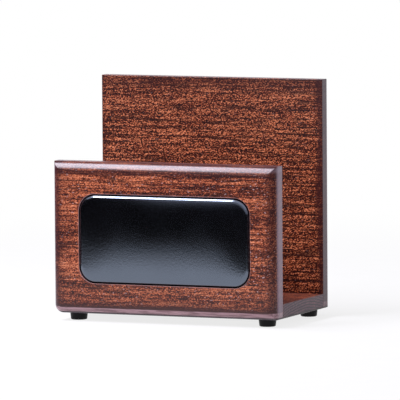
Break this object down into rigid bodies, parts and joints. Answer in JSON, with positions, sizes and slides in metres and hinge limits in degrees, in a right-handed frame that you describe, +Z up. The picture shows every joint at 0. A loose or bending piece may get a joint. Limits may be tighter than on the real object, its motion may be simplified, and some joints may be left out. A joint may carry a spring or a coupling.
{
  "type": "desk letter holder",
  "caption": "Open-ended desk letter holder: a low front panel with a padded leather inlay and a taller back panel on a base board, on rubber feet.",
  "frame": {"origin": "centre of the footprint at the bottom of the feet", "axes": "+X to the right along the panels, seen from the front; +Y from the front panel to the back panel; +Z up"},
  "size_m": [0.152, 0.0938, 0.1503],
  "materials": {
    "stained_wood": "satin lacquer over a reddish brown stain",
    "dowel_wood": "bare",
    "black_leather": "satin, fine grain",
    "foam": "matte",
    "backer_board": "bare fibreboard",
    "adhesive": "matte",
    "rubber": "matte"
  },
  "bodies": {
    "root": {"back_panel": "stained_wood", "base_board": "stained_wood", "foot_adhesive_front_left": "adhesive", "foot_adhesive_front_right": "adhesive", "foot_adhesive_rear_left": "adhesive", "foot_adhesive_rear_right": "adhesive", "foot_front_left": "rubber", "foot_front_right": "rubber", "foot_rear_left": "rubber", "foot_rear_right": "rubber", "front_dowel_left": "dowel_wood", "front_dowel_middle": "dowel_wood", "front_dowel_right": "dowel_wood", "front_panel": "stained_wood", "inlay_adhesive": "adhesive", "inlay_backer": "backer_board", "inlay_foam": "foam", "leather_inlay": "black_leather", "rear_dowel_left": "dowel_wood", "rear_dowel_middle": "dowel_wood", "rear_dowel_right": "dowel_wood"}
  },
  "joints": []
}
